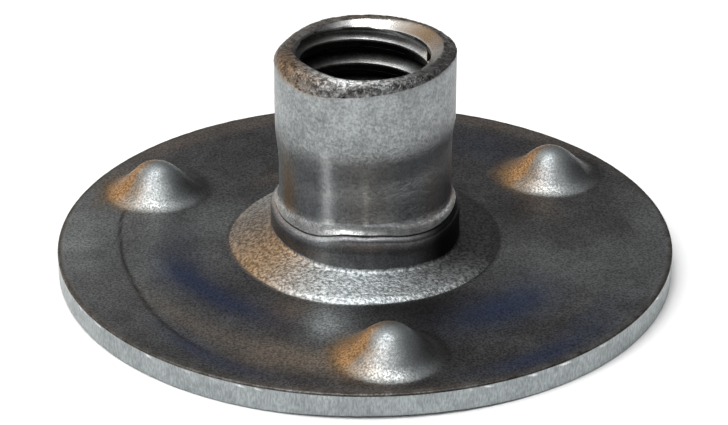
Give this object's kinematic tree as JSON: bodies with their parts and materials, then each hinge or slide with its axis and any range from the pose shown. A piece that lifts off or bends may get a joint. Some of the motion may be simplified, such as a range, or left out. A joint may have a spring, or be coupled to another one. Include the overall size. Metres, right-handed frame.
{
  "type": "weld nut",
  "caption": "Round-base weld nut: a thin round flange with a tall tapped barrel, a coined ring round its foot and raised weld projections.",
  "frame": {"origin": "centre of the flat underside of the flange, on the axis of the tapped bore", "axes": "+Z along the bore towards the lip of the barrel; one weld projection points along -Y"},
  "size_m": [0.0382, 0.038, 0.0143],
  "materials": {
    "steel": "oiled, as formed"
  },
  "bodies": {
    "root": {"weld_nut": "steel"}
  },
  "joints": []
}
